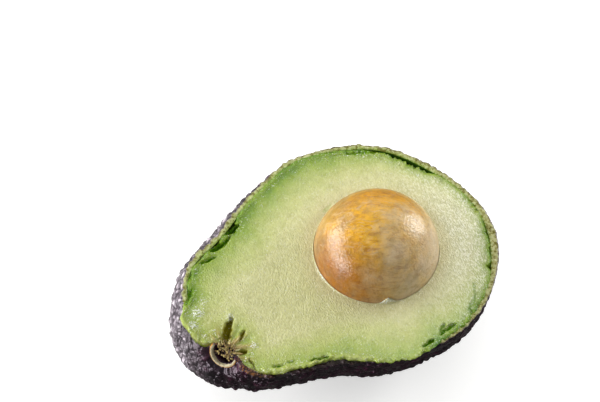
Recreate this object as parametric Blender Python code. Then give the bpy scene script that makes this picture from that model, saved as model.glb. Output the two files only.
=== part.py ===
"""Half an avocado, cut lengthwise through the stem, with the seed left in its hollow.

The half lies on its rounded back with the cut face up. +X points to the broad blossom end, the stem
end is at -X, and the origin is on the ground under the middle of the half. Everything is built in
the fruit's own frame, whose zero is in the cut face, and then lifted to stand on the ground.
"""

import math
import random

import bmesh
import bpy
import numpy as np
from mathutils import Matrix, Vector

# Outline of the fruit, in metres. Seven even stations run from the stem end to the blossom end.
HALF_LENGTH = 0.0472
STATION_WIDTHS = (0.0395, 0.0319, 0.0314, 0.0359, 0.0383, 0.0395, 0.0349)
STATION_OFFSETS = (-0.0029, -0.0043, -0.0004, 0.0, -0.0009, -0.0019, -0.0044)
DEPTH_RATIO = 0.954
STEM_LEAN = 0.67

# The neck swells out on its +Y flank just below the cut face: by how much, where along the fruit
# (-1 to 1), and how far down it has risen and faded.
FLANK_SWELL = 0.0040
FLANK_MIDDLE = -0.57
FLANK_SPREAD = 0.38
FLANK_RISE = 0.0027
FLANK_FADE = 0.015

# Where the half lies: height of the cut face, and the middle of the outline from the fruit's zero.
CUT_HEIGHT = 0.0340
MIDDLE_X = -0.0022
MIDDLE_Y = -0.0005

# Skin, with pebbles raised from it
SKIN_THICKNESS = 0.0017
PEBBLE_HEIGHT = 0.0013
PEBBLE_COUNT = 900
PEBBLE_JITTER = 0.0010
PEBBLE_EDGE = 0.0020
REST_SPOT_RADIUS = 0.0120
REST_SPOT_X = 0.0080
REST_SPOT_Y = -0.002

# Seed and the hollow it sits in
SEED_CENTRE = (0.0120, -0.0013, -0.0010)
SEED_RADII = (0.0184, 0.0181, 0.0181)
FIT_GAP = 0.0003

# Stem scar: a woody ring in a dimple, whose axis leans up out of the cut face
STEM_POINT = (-0.0420, -0.0156, 0.0)
STEM_HEADING = math.radians(215)
STEM_RISE = math.radians(30)
RING_RADIUS = 0.0040
RING_THICKNESS = 0.0006
RING_DEPTH_RATIO = 2.0
DIMPLE_DEPTH = 0.0014
DIMPLE_RADIUS = 0.0065
STEM_CAVITY_DEPTH = 0.0036

# Crevices where the flesh has shrunk from the skin: heading from the seed, half spread and width
CREVICES = (
    (math.radians(50), math.radians(15), 0.0016),
    (math.radians(78), math.radians(10), 0.0005),
    (math.radians(146), math.radians(5), 0.0016),
    (math.radians(157), math.radians(6), 0.0013),
    (math.radians(170), math.radians(6), 0.0007),
    (math.radians(-24), math.radians(12), 0.0006),
    (math.radians(-52), math.radians(7), 0.0008),
    (math.radians(-78), math.radians(6), 0.0010),
)
CREVICE_DEPTH = 0.006

# Splits in the flesh that spread from the stem: start, end, width and depth
SPLITS = (
    ((-0.0412, -0.0130), (-0.0354, -0.0066), 0.0024, 0.0050),
    ((-0.0372, -0.0140), (-0.0330, -0.0116), 0.0010, 0.0030),
    ((-0.0392, -0.0164), (-0.0350, -0.0168), 0.0011, 0.0030),
)

# Mesh fineness: cuts along each edge of the cube that each body is rounded from
OUTER_CUTS = 33
INNER_CUTS = 21
FLESH_CUTS = 21


def clear_scene():
    for obj in list(bpy.data.objects):
        bpy.data.objects.remove(obj, do_unlink=True)


def add_collection(name):
    collection = bpy.data.collections.new(name)
    bpy.context.scene.collection.children.link(collection)
    return collection


def add_material(name, colour, roughness):
    material = bpy.data.materials.new(name)
    material.use_nodes = True
    shader = material.node_tree.nodes["Principled BSDF"]
    shader.inputs["Base Color"].default_value = (*colour, 1.0)
    shader.inputs["Roughness"].default_value = roughness
    shader.inputs["Metallic"].default_value = 0.0
    material.diffuse_color = (*colour, 1.0)
    return material


def add_object(name, mesh, collection, material=None):
    obj = bpy.data.objects.new(name, mesh)
    collection.objects.link(obj)
    if material:
        mesh.materials.append(material)
    return obj


def add_cutter(name, bm, collection):
    bmesh.ops.recalc_face_normals(bm, faces=bm.faces)
    mesh = bpy.data.meshes.new(name)
    bm.to_mesh(mesh)
    bm.free()
    cutter = add_object(name, mesh, collection)
    cutter.hide_render = True
    cutter.display_type = "WIRE"
    return cutter


def subtract(obj, cutter):
    modifier = obj.modifiers.new(f"cut by {cutter.name}", "BOOLEAN")
    modifier.operation = "DIFFERENCE"
    modifier.solver = "EXACT"
    modifier.object = cutter


def station_value(values, along):
    """A smooth curve through the stations' values, read at along = -1 (stem end) to 1."""
    values = np.asarray(values)
    place = (along + 1) / 2 * (len(values) - 1)
    index = np.clip(np.floor(place).astype(int), 0, len(values) - 2)
    f = place - index
    padded = np.concatenate([[2 * values[0] - values[1]], values, [2 * values[-1] - values[-2]]])
    a, b, c, d = (padded[index + k] for k in range(4))
    bend = 2 * a - 5 * b + 4 * c - d
    twist = 3 * b - a - 3 * c + d
    return 0.5 * (2 * b + (c - a) * f + bend * f**2 + twist * f**3)


def fruit_surface(directions):
    """Points of the smooth, whole fruit for unit directions from its middle."""
    along = directions[:, 0]
    width = station_value(STATION_WIDTHS, along)
    z = DEPTH_RATIO * width * directions[:, 2]
    # The blunt stem end leans outwards below the cut face.
    lean = STEM_LEAN * z * np.clip(-along, 0, 1) ** 2
    x = HALF_LENGTH * along + lean
    y = station_value(STATION_OFFSETS, along) + width * directions[:, 1]
    below = np.clip(-z, 0, None)
    swell = (1 - np.exp(-((below / FLANK_RISE) ** 2))) * np.exp(-((below / FLANK_FADE) ** 2))
    swell *= np.exp(-(((along - FLANK_MIDDLE) / FLANK_SPREAD) ** 2)) * np.clip(directions[:, 1], 0, 1)
    return np.stack([x, y + FLANK_SWELL * swell, z], axis=1)


def rounded_cube(cuts):
    """A cube cut into even squares and rounded to a unit sphere."""
    bm = bmesh.new()
    bmesh.ops.create_cube(bm, size=2)
    bmesh.ops.subdivide_edges(bm, edges=bm.edges, cuts=cuts, use_grid_fill=True)
    for vertex in bm.verts:
        x, y, z = (math.tan(v * math.pi / 4) for v in vertex.co)
        vertex.co = Vector((x, y, z)).normalized()
    return bm


def pebble_middles():
    """Points spread over the fruit on a spiral, each moved a little at random."""
    rng = random.Random(7)
    turn = math.pi * (3 - math.sqrt(5))
    points = []
    for i in range(PEBBLE_COUNT):
        height = 1 - (2 * i + 1) / PEBBLE_COUNT
        radius = math.sqrt(1 - height * height)
        points.append((height, radius * math.cos(turn * i), radius * math.sin(turn * i)))
    surface = fruit_surface(np.array(points))
    moves = [[rng.uniform(-1, 1) for _ in range(3)] for _ in range(PEBBLE_COUNT)]
    return surface + PEBBLE_JITTER * np.array(moves)


def pebble_relief(points):
    """Height over the smooth skin: flat-topped pebbles that fall to the creases between them."""
    middles = pebble_middles()
    relief = np.empty(len(points))
    for i, point in enumerate(points):
        near = np.partition(np.linalg.norm(middles - point, axis=1), 1)[:2]
        crease = min((near[1] - near[0]) / PEBBLE_EDGE, 1.0)
        relief[i] = PEBBLE_HEIGHT * (math.sqrt(crease) - 0.5)
    spot = np.hypot(points[:, 0] - REST_SPOT_X, points[:, 1] - REST_SPOT_Y) / REST_SPOT_RADIUS
    below = points[:, 2] < -CUT_HEIGHT / 2
    return relief * np.where(below, np.clip(spot * 2 - 1, 0, 1), 1)


def stem_dimple(points):
    away = np.linalg.norm(points - np.array(STEM_POINT), axis=1)
    return DIMPLE_DEPTH * np.exp(-((away / DIMPLE_RADIUS) ** 2))


def crevice_width(points):
    """How far the flesh has drawn back from the skin, most at the cut face."""
    heading = np.arctan2(points[:, 1] - SEED_CENTRE[1], points[:, 0] - SEED_CENTRE[0])
    width = np.zeros(len(points))
    for middle, spread, most in CREVICES:
        off = (heading - middle + math.pi) % (2 * math.pi) - math.pi
        width += most * np.exp(-((off / spread) ** 2))
    return width * np.exp(-((points[:, 2] / CREVICE_DEPTH) ** 2))


def fruit_body(cuts, inset, pebbled=False, shrunk=False):
    """A closed body that follows the skin at a depth below it, as a bmesh in the fruit's frame."""
    bm = rounded_cube(cuts)
    smooth = fruit_surface(np.array([v.co[:] for v in bm.verts]))
    for vertex, point in zip(bm.verts, smooth):
        vertex.co = point
    bmesh.ops.recalc_face_normals(bm, faces=bm.faces)
    bm.normal_update()
    depth = np.full(len(smooth), inset) + stem_dimple(smooth)
    if pebbled:
        depth -= pebble_relief(smooth)
    if shrunk:
        depth += crevice_width(smooth)
    floor = inset - CUT_HEIGHT
    moved = [vertex.co - vertex.normal * d for vertex, d in zip(bm.verts, depth)]
    for vertex, point in zip(bm.verts, moved):
        # The back is pressed flat where it rests.
        point.z = max(point.z, floor)
        vertex.co = point
    bmesh.ops.triangulate(bm, faces=bm.faces)
    return bm


def finish(obj):
    """Lifts the piece from the fruit's frame onto the ground, and shades its round faces smooth."""
    obj.location = (-MIDDLE_X, -MIDDLE_Y, CUT_HEIGHT)
    obj.data.shade_smooth()
    obj.data.set_sharp_from_angle(angle=math.radians(50))


def to_object(name, bm, collection, material):
    mesh = bpy.data.meshes.new(name)
    bm.to_mesh(mesh)
    bm.free()
    return add_object(name, mesh, collection, material)


def seed_ball(grow):
    bm = bmesh.new()
    bmesh.ops.create_icosphere(bm, subdivisions=4, radius=1)
    radii = Vector(SEED_RADII) + Vector((grow, grow, grow))
    bmesh.ops.transform(bm, verts=bm.verts, matrix=Matrix.Diagonal((*radii, 1)))
    bmesh.ops.translate(bm, verts=bm.verts, vec=Vector(SEED_CENTRE))
    return bm


def stem_matrix():
    """Turns +Z to the stem's axis and moves zero to the stem."""
    turned = Matrix.Rotation(STEM_HEADING, 4, "Z") @ Matrix.Rotation(math.pi / 2 - STEM_RISE, 4, "Y")
    return Matrix.Translation(STEM_POINT) @ turned


def split_cutter(name, start, end, width, depth, collection):
    """A long pointed hollow in the cut face, as deep as stated."""
    bm = bmesh.new()
    bmesh.ops.create_icosphere(bm, subdivisions=2, radius=1)
    along = Vector((end[0] - start[0], end[1] - start[1], 0))
    shape = Matrix.Diagonal((along.length / 2, width / 2, depth, 1))
    heading = Matrix.Rotation(math.atan2(along.y, along.x), 4, "Z")
    middle = Matrix.Translation(((start[0] + end[0]) / 2, (start[1] + end[1]) / 2, 0))
    bmesh.ops.transform(bm, verts=bm.verts, matrix=middle @ heading @ shape)
    return add_cutter(name, bm, collection)


def build():
    clear_scene()
    parts = add_collection("avocado_half")
    cutters = add_collection("cutters")

    skin_paint = add_material("skin_dark", (0.030, 0.017, 0.020), 0.42)
    flesh_paint = add_material("flesh_green", (0.55, 0.62, 0.20), 0.45)
    seed_paint = add_material("seed_tan", (0.48, 0.22, 0.06), 0.38)
    stem_paint = add_material("stem_woody", (0.36, 0.24, 0.12), 0.70)

    bm = bmesh.new()
    bmesh.ops.create_cube(bm, size=1)
    bmesh.ops.transform(bm, verts=bm.verts, matrix=Matrix.Diagonal((0.2, 0.2, 0.1, 1)))
    bmesh.ops.translate(bm, verts=bm.verts, vec=(0, 0, 0.05))
    upper_half = add_cutter("upper_half", bm, cutters)
    inner_body = add_cutter("inner_body", fruit_body(INNER_CUTS, SKIN_THICKNESS), cutters)
    seed_hollow = add_cutter("seed_hollow", seed_ball(FIT_GAP), cutters)

    bm = bmesh.new()
    hole_radius = RING_RADIUS + RING_THICKNESS + FIT_GAP
    bmesh.ops.create_cone(bm, cap_ends=True, segments=28, radius1=hole_radius,
                          radius2=hole_radius, depth=0.012, matrix=stem_matrix())
    stem_hole = add_cutter("stem_hole", bm, cutters)

    bm = bmesh.new()
    dish = Matrix.Diagonal((hole_radius, hole_radius, STEM_CAVITY_DEPTH, 1))
    bmesh.ops.create_icosphere(bm, subdivisions=3, radius=1, matrix=stem_matrix() @ dish)
    stem_cavity = add_cutter("stem_cavity", bm, cutters)

    skin = to_object("skin", fruit_body(OUTER_CUTS, 0, pebbled=True), parts, skin_paint)
    subtract(skin, upper_half)
    subtract(skin, inner_body)
    subtract(skin, stem_hole)

    flesh_depth = SKIN_THICKNESS + FIT_GAP
    flesh = to_object("flesh", fruit_body(FLESH_CUTS, flesh_depth, shrunk=True), parts, flesh_paint)
    subtract(flesh, upper_half)
    subtract(flesh, seed_hollow)
    subtract(flesh, stem_cavity)
    for i, (start, end, width, depth) in enumerate(SPLITS):
        subtract(flesh, split_cutter(f"split_{i + 1}", start, end, width, depth, cutters))

    seed = to_object("seed", seed_ball(0), parts, seed_paint)

    bpy.ops.mesh.primitive_torus_add(major_radius=RING_RADIUS, minor_radius=RING_THICKNESS,
                                     major_segments=32, minor_segments=8)
    ring = bpy.context.object
    ring.name = "stem_ring"
    ring.data.name = "stem_ring"
    for collection in list(ring.users_collection):
        collection.objects.unlink(ring)
    parts.objects.link(ring)
    ring.data.materials.append(stem_paint)
    ring.data.transform(stem_matrix() @ Matrix.Diagonal((1, 1, RING_DEPTH_RATIO, 1)))
    subtract(ring, upper_half)

    for piece in (skin, flesh, seed, ring):
        finish(piece)
    for cutter in cutters.objects:
        cutter.location = (-MIDDLE_X, -MIDDLE_Y, CUT_HEIGHT)


build()
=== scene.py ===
import math
import random
from functools import partial

import bmesh
import bpy
import numpy as np
from mathutils import Matrix, Vector, noise
from mathutils.kdtree import KDTree


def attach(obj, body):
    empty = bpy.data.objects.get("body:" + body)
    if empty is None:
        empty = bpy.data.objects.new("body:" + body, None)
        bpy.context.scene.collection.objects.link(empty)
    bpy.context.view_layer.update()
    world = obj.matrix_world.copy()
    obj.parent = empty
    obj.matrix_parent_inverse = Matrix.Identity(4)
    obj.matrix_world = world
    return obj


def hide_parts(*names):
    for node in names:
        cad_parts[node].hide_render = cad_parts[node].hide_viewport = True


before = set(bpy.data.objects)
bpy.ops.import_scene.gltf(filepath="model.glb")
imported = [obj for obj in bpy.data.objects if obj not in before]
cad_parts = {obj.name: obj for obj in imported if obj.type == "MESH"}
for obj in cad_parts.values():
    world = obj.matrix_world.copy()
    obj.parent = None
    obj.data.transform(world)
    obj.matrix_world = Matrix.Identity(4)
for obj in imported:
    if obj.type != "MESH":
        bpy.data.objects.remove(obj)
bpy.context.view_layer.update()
mm = 0.001

# The half fruit's shape in mm, the same as the solids have. Its zero is in the cut face,
# and seven even stations run from the stem end (-X) to the blossom end.
fruit = {
    "halfLength": 47.2,
    "stationWidths": (39.5, 31.9, 31.4, 35.9, 38.3, 39.5, 34.9),
    "stationOffsets": (-2.9, -4.3, -0.4, 0.0, -0.9, -1.9, -4.4),
    "depthRatio": 0.954,
    "stemLean": 0.67,
    "flankSwell": 4.0,      # the neck swells out on its +Y flank just below the cut face
    "flankMiddle": -0.57,
    "flankSpread": 0.38,
    "flankRise": 2.7,
    "flankFade": 15.0,
    "cutHeight": 34.0,
    "middle": (-2.2, -0.5),
    "skinThickness": 1.7,
    "seedCentre": (12.0, -1.3, -1.0),
    "seedRadii": (18.4, 18.1, 18.1),
    "stemPoint": (-42.0, -15.6, 0.0),
    "stemHeading": 215,
    "stemRise": 30,
    "dimpleDepth": 1.4,
    "dimpleRadius": 6.5,
    "moatRadius": 5.2,      # round the stem's ring the skin is smooth and lower
    "moatDepth": 1.1,
    "hollowRadius": 3.5,
    "hollowDepth": 2.4,
}

# Crevices where the flesh drew back from the skin: heading from the seed, half spread
# in degrees, width in mm, and how ragged the flesh's edge is there.
crevices = (
    (55, 7, 1.5, 1.0), (44, 6, 1.6, 0.9), (36, 4, 1.1, 0.5), (66, 6, 0.9, 0.5), (78, 9, 0.55, 0.35),
    (90, 6, 0.35, 0.3), (147.0, 3.2, 1.5, 0.9), (155.5, 2.4, 1.1, 0.8), (161.5, 2.0, 0.7, 0.6),
    (169, 4, 0.25, 0.55), (174.5, 3, 0.35, 0.4), (3, 8, 0.35, 0.6), (-12, 6, 0.75, 0.7), (-24, 8, 0.6, 0.8),
    (-33, 1.6, 1.2, 0.5),
)

# How far the flesh's edge was dragged out over the skin's rim: heading and mm
reaches = (
    (-179.2, 3.5), (-177.3, 3.1), (-175.7, 2.6), (-173, 2.8), (-170.5, 1.9), (-169.3, 0.3), (-166, -0.3),
    (-160.7, -0.6), (-158.5, -0.3), (-154.3, 0.3), (-152, 0.9), (-148.5, 1.1), (-145.3, 0.8), (-143.1, 1.1),
    (-140.4, 1.7), (-135.9, 1.2), (-134.4, 0.9), (-129.4, 0.7), (-121.6, 1.3), (-116.7, 1.3), (-110.6, 2.0),
    (-107.4, 1.9), (-101.6, 2.1), (-95.3, 2.4), (-91.2, 1.6), (-87, 1.2), (-82, 0.5), (-76, 0.3), (-66, 0.35),
    (-56, 0.1), (-45, 0.2), (-36, 0), (-31, -0.3), (-24, -0.7), (-9, -0.7), (3, -0.3), (14, 0), (30, 0),
    (100, 0.2), (135, 0.1), (145, 0), (174, 0), (176.2, 1.6), (178.9, 2.6),
)

# Where the rim is the skin's own dark colour, bare of flesh: heading and share
bareness = ((-86, 0), (-94, 0.9), (-165, 1), (-178, 1), (178, 0.7), (175, 0))

# Height of a thick soft lip along the flesh's edge: heading and mm
lips = ((-158, 0), (-150, 0.35), (-143, 0.3), (-136, 0.55), (-120, 0.5), (-108, 0.2), (-90, 0.1), (-60, 0.1),
        (0, 0.1), (90, 0.15), (120, 0.25), (150, 0.1), (180, 0.3))

# Where the flesh's edge is torn into lumps: heading, half spread and height in mm
tears = (
    (-113, 26, 0.40), (-60, 22, 0.45), (-178, 9, 0.40), (-140, 16, 0.50), (155, 16, 0.30), (120, 14, 0.28),
    (75, 22, 0.38), (20, 30, 0.20), (-20, 20, 0.20),
)

# Wet frothy patches: place, radius and height of the lumps in mm
froths = (
    (-43.9, -1.0, 1.9, 0.6), (-46.6, -4.4, 1.3, 0.5), (-41.2, 1.8, 1.2, 0.3), (-36.0, -5.4, 1.3, 0.45),
    (-42.2, -8.0, 0.8, 0.3), (-45.0, -8.6, 0.8, 0.35), (-40.9, -10.9, 0.5, 0.3), (-33.2, -16.6, 1.3, 0.25),
    (-34.8, -19.2, 0.8, 0.2), (-36.9, -19.4, 0.7, 0.2),
)

# Splits that spread from the stem: start, end, width and depth in mm
splits = (
    ((-41.6, -13.9), (-36.2, -6.5), 3.0, 1.3), ((-36.6, -14.0), (-33.7, -11.0), 1.3, 0.8),
    ((-38.9, -17.1), (-35.6, -17.5), 1.6, 1.0), ((-36.3, -20.2), (-35.7, -24.0), 0.8, 0.6),
)

# Folds and small holes in the flesh near its edge: start, end, width and depth in mm
folds = (
    ((-26.8, 19.8), (-21.4, 21.6), 2.5, 1.9), ((-33.0, 16.2), (-27.6, 17.4), 2.4, 1.5),
    ((-30.0, 16.2), (-26.2, 18.6), 1.5, 1.0), ((-36.8, 13.6), (-31.6, 14.2), 1.5, 0.8),
    ((-43.8, 9.0), (-40.6, 11.8), 1.6, 0.5), ((-46.0, 2.8), (-42.6, 7.0), 1.8, 0.6),
    ((33.4, -22.0), (31.0, -28.0), 1.2, 0.2), ((31.8, -26.4), (28.0, -30.0), 1.5, 0.3),
    ((28.9, -28.8), (28.0, -33.0), 1.2, 0.4), ((22.6, -32.2), (16.6, -34.0), 1.4, 0.7),
    ((19.6, -31.4), (17.2, -33.2), 1.0, 0.5), ((14.8, -34.6), (10.6, -35.6), 1.3, 0.8),
    ((-20.6, -27.3), (-15.6, -28.3), 1.0, 0.8), ((-31.6, -24.9), (-28.4, -25.8), 0.9, 0.7),
    ((-26.6, -25.3), (-24.6, -25.9), 0.7, 0.5), ((17, 31.8), (27, 28.8), 1.4, 0.4),
    ((2.6, 15.7), (6.2, 17.6), 1.6, 0.14),
)


def ease(value, low, high):
    share = np.clip((value - low) / (high - low), 0, 1)
    return share * share * (3 - 2 * share)


def bell(away, width):
    return np.exp(-((away / width) ** 2))


def noiseAt(points, size, shift=0.0):
    # Smooth noise from -1 to 1, with bumps about size mm across.
    away = Vector((shift, shift * 1.7, shift * 0.3))
    return np.array([noise.noise(Vector(p) / size + away) for p in points])


def bumpAt(heading, middle, spread):
    return bell((np.degrees(heading) - middle + 180) % 360 - 180, spread)


def sumOfBumps(table, heading):
    # Rows hold a middle heading, a half spread in degrees and a height.
    return sum(height * bumpAt(heading, middle, spread) for middle, spread, height in table)


def tableAt(table, heading):
    return np.interp(np.degrees(heading), [row[0] for row in table], [row[1] for row in table], period=360)


def stationValue(values, along):
    # A smooth curve through values at even stations, from -1 at the stem end to 1
    values = np.asarray(values)
    place = (along + 1) / 2 * (len(values) - 1)
    index = np.clip(np.floor(place).astype(int), 0, len(values) - 2)
    f = place - index
    padded = np.concatenate([[2 * values[0] - values[1]], values, [2 * values[-1] - values[-2]]])
    a, b, c, d = (padded[index + k] for k in range(4))
    bend = 2 * a - 5 * b + 4 * c - d
    twist = 3 * b - a - 3 * c + d
    return 0.5 * (2 * b + (c - a) * f + bend * f**2 + twist * f**3)


def fruitSurface(directions):
    along = directions[:, 0]
    width = stationValue(fruit["stationWidths"], along)
    z = fruit["depthRatio"] * width * directions[:, 2]
    lean = fruit["stemLean"] * z * np.clip(-along, 0, 1) ** 2
    y = stationValue(fruit["stationOffsets"], along) + width * directions[:, 1]
    below = np.clip(-z, 0, None)
    swell = (1 - bell(below, fruit["flankRise"])) * bell(below, fruit["flankFade"])
    swell *= bell(along - fruit["flankMiddle"], fruit["flankSpread"]) * np.clip(directions[:, 1], 0, 1)
    return np.stack([fruit["halfLength"] * along + lean, y + fruit["flankSwell"] * swell, z], axis=1)


def unit(vectors):
    return vectors / np.linalg.norm(vectors, axis=1, keepdims=True)


def fruitOutward(directions):
    # The skin's own outward direction, from two small steps along it.
    helper = np.where(np.abs(directions[:, :1]) > 0.7, [[0.0, 0.0, 1.0]], [[1.0, 0.0, 0.0]])
    first = unit(np.cross(directions, helper))
    second = np.cross(directions, first)
    here = fruitSurface(directions)
    step = 0.01
    a = fruitSurface(unit(directions + step * first)) - here
    b = fruitSurface(unit(directions + step * second)) - here
    outward = unit(np.cross(a, b))
    middle = np.array([0.0, -1.0, 0.0])
    return outward * np.sign(((here - middle) * outward).sum(1))[:, None]


def stemAxis():
    heading, rise = math.radians(fruit["stemHeading"]), math.radians(fruit["stemRise"])
    return np.array([math.cos(heading) * math.cos(rise), math.sin(heading) * math.cos(rise), math.sin(rise)])


def stemDistance(points):
    return np.linalg.norm(points - np.array(fruit["stemPoint"]), axis=1)


def stemShape(points):
    # How far the skin sinks along its own outward direction, and along the stem's axis.
    dimple = fruit["dimpleDepth"] * bell(stemDistance(points), fruit["dimpleRadius"])
    away = points - np.array(fruit["stemPoint"])
    axis = stemAxis()
    alongAxis = away @ axis
    across = np.linalg.norm(away - alongAxis[:, None] * axis, axis=1)
    hollow = fruit["hollowDepth"] * (1 - ease(across, fruit["hollowRadius"] - 0.8, fruit["hollowRadius"]))
    hollow += fruit["moatDepth"] * (1 - ease(across, fruit["moatRadius"] - 0.6, fruit["moatRadius"] + 2.2))
    hollow *= np.exp(-((alongAxis / 7) ** 4))
    return dimple, hollow[:, None] * axis


def layerPoints(directions, depth):
    # Points at a depth below the smooth skin, with the stem's dimple and hollow pressed in.
    surface = fruitSurface(directions)
    dimple, hollow = stemShape(surface)
    points = surface - fruitOutward(directions) * (dimple + depth)[:, None] - hollow
    points[:, 2] = np.maximum(points[:, 2], np.clip(depth, 0, None) - fruit["cutHeight"])
    return points


def around(angles, dip):
    # Directions at an angle round the cut face and a dip below it in degrees.
    dips = math.radians(dip) + 0 * angles
    return np.stack([np.cos(angles) * np.cos(dips), np.sin(angles) * np.cos(dips), -np.sin(dips)], axis=1)


def seedHeading(points):
    x, y, _ = fruit["seedCentre"]
    return np.arctan2(points[:, 1] - y, points[:, 0] - x)


def aroundSeed(headings, reachX, reachY, height):
    x, y, _ = fruit["seedCentre"]
    x, y = x + reachX * np.cos(headings), y + reachY * np.sin(headings)
    return np.stack([x, y, height + 0 * headings], axis=1)


def paint(code):
    # An sRGB hex value as linear light, with alpha.
    values = [int(code[i:i + 2], 16) / 255 for i in (1, 3, 5)]
    linear = [v / 12.92 if v <= 0.04045 else ((v + 0.055) / 1.055) ** 2.4 for v in values]
    return (*linear, 1.0)


def addNode(owner, kind, settings=None, links=None):
    # Settings go to the new node's sockets by name or number, or else to the node itself.
    # A node given as a link stands for its main output.
    nodes = owner.node_tree.nodes
    node = nodes["Principled BSDF"] if kind == "BsdfPrincipled" else nodes.new("ShaderNode" + kind)
    if kind == "Mix":
        node.data_type = "RGBA"
    for name, value in (settings or {}).items():
        if name == "stops":
            elements = node.color_ramp.elements
            while len(elements) < len(value):
                elements.new(0.5)
            for element, (place, colour) in zip(elements, value):
                element.position = place
                element.color = paint(colour) if isinstance(colour, str) else (colour, colour, colour, 1)
        elif isinstance(name, int) or name in node.inputs:
            node.inputs[name].default_value = paint(value) if isinstance(value, str) else value
        else:
            setattr(node, name, value)
    for name, source in (links or {}).items():
        if isinstance(source, bpy.types.Node):
            source = source.outputs[2 if source.type in ("MIX", "ATTRIBUTE") else 0]
        owner.node_tree.links.new(source, node.inputs[name])
    return node


def newMaterial(name):
    # The material, and addNode for it
    material = bpy.data.materials.new(name)
    material.use_nodes = True
    return material, partial(addNode, material)


def addObject(name, data):
    made = bpy.data.objects.new(name, data)
    bpy.context.scene.collection.objects.link(made)
    return made


def finishPiece(name, bm, material, slotName, *nodes):
    # Moves the piece from the fruit's own mm to its place on the ground in metres.
    bmesh.ops.recalc_face_normals(bm, faces=bm.faces)
    x, y = fruit["middle"]
    bmesh.ops.translate(bm, verts=bm.verts, vec=(-x, -y, fruit["cutHeight"]))
    bmesh.ops.scale(bm, verts=bm.verts, vec=(mm, mm, mm))
    mesh = bpy.data.meshes.new(name)
    bm.to_mesh(mesh)
    bm.free()
    mesh.shade_smooth()
    mesh.materials.append(material)
    piece = addObject(name, mesh)
    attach(piece, "root")
    if nodes:
        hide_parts(*nodes)
    print(f"{name}: {sum(len(p.vertices) - 2 for p in mesh.polygons)} triangles")
    return piece


def places(verts):
    return np.array([v.co[:] for v in verts])


def placeVerts(verts, points):
    for vertex, point in zip(verts, points):
        vertex.co = point


def newLayers(bm, *names):
    return {name: bm.verts.layers.float.new(name) for name in names}


def readLayer(verts, layer):
    return np.array([v[layer] for v in verts])


def writeLayers(verts, layers, **values):
    for name, column in values.items():
        for vertex, value in zip(verts, np.broadcast_to(column, len(verts))):
            vertex[layers[name]] = value


def newRing(bm, edges):
    # Extrudes a loop of edges and returns the new edges and vertices, still at the old place.
    made = bmesh.ops.extrude_edge_only(bm, edges=edges)["geom"]
    verts = [item for item in made if isinstance(item, bmesh.types.BMVert)]
    fresh = set(verts)
    edges = [item for item in made if isinstance(item, bmesh.types.BMEdge) and set(item.verts) <= fresh]
    return edges, verts


def closeRing(bm, verts):
    bmesh.ops.pointmerge(bm, verts=verts, merge_co=Vector(np.mean(places(verts), axis=0)))


def cutOff(bm, height):
    # Cuts away what is above a height and returns the edges of the cut.
    everything = bm.verts[:] + bm.edges[:] + bm.faces[:]
    cut = bmesh.ops.bisect_plane(bm, geom=everything, plane_co=(0, 0, height), plane_no=(0, 0, 1),
                                 clear_outer=True)
    return [item for item in cut["geom_cut"] if isinstance(item, bmesh.types.BMEdge)]


def nearTree(points):
    tree = KDTree(len(points))
    for i, point in enumerate(points):
        tree.insert(point, i)
    tree.balance()
    return tree


# ---- skin
skinShape = {
    "cuts": 150,
    "pebblePitch": 2.4,       # mm between pebbles
    "pebbleHeight": 0.95,     # mm from crease to top
    "creaseWidth": 1.5,
    "stretch": 1.45,          # pebbles are longer along the fruit
    "wobble": 0.65,           # how crooked the creases run
    "fine": 0.10,             # fine grain over the pebbles
    "calm": 0.7,              # share by which the -Y flank is smoother below the cut
    "swell": 0.3,             # broad unevenness
    "stemLumps": 0.7,         # larger lumps at the stem end
    "furrows": 0.8,           # furrows that spread from the stem's ring
    "finerWithin": 17,        # mm from the stem
    # Broad swellings of the -Y flank: place along the fruit, spread and height in mm
    "swellings": ((-17, 13, 0.8), (16, 8, -0.5)),
    "rimSteps": (0.06, 0.14, 0.24, 0.36, 0.5, 0.64, 0.78, 0.9, 1.0),
    "rimFade": 1.6,           # mm below the cut over which a lowered rim fades out
    "rimStains": ((-171, 4.5, 1.0), (-156.5, 5, 1.0)),    # heading, half spread and strength
    "wallDips": (1.2, 3, 6, 10, 16, 24, 35, 48, 62, 76),    # degrees below the cut
    "restSpot": (8.0, -2.0, 12.0),    # place and radius in mm
    "seed": 7,
}


def pebbleMiddles():
    rng = random.Random(skinShape["seed"])
    count = int(20000 / (0.866 * skinShape["pebblePitch"] ** 2))
    heights = 1 - (2 * np.arange(count) + 1) / count
    radii = np.sqrt(1 - heights**2)
    turns = math.pi * (3 - math.sqrt(5)) * np.arange(count)
    points = fruitSurface(np.stack([heights, radii * np.cos(turns), radii * np.sin(turns)], axis=1))
    jitter = 0.4 * skinShape["pebblePitch"]
    points += np.array([[rng.uniform(-jitter, jitter) for _ in range(3)] for _ in range(count)])
    sizes = np.array([rng.uniform(0.4, 1.0) for _ in range(count)])
    tints = np.array([rng.random() for _ in range(count)])
    return points, sizes, tints


def stemSpokes(points):
    # Noise that only changes round the stem's axis
    away = points - np.array(fruit["stemPoint"])
    axis = stemAxis()
    across = away - (away @ axis)[:, None] * axis
    distance = np.linalg.norm(across, axis=1)
    return noiseAt(across / (distance + 0.01)[:, None] * 6 + 0.05 * points, 1.25, 6.1)


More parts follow.
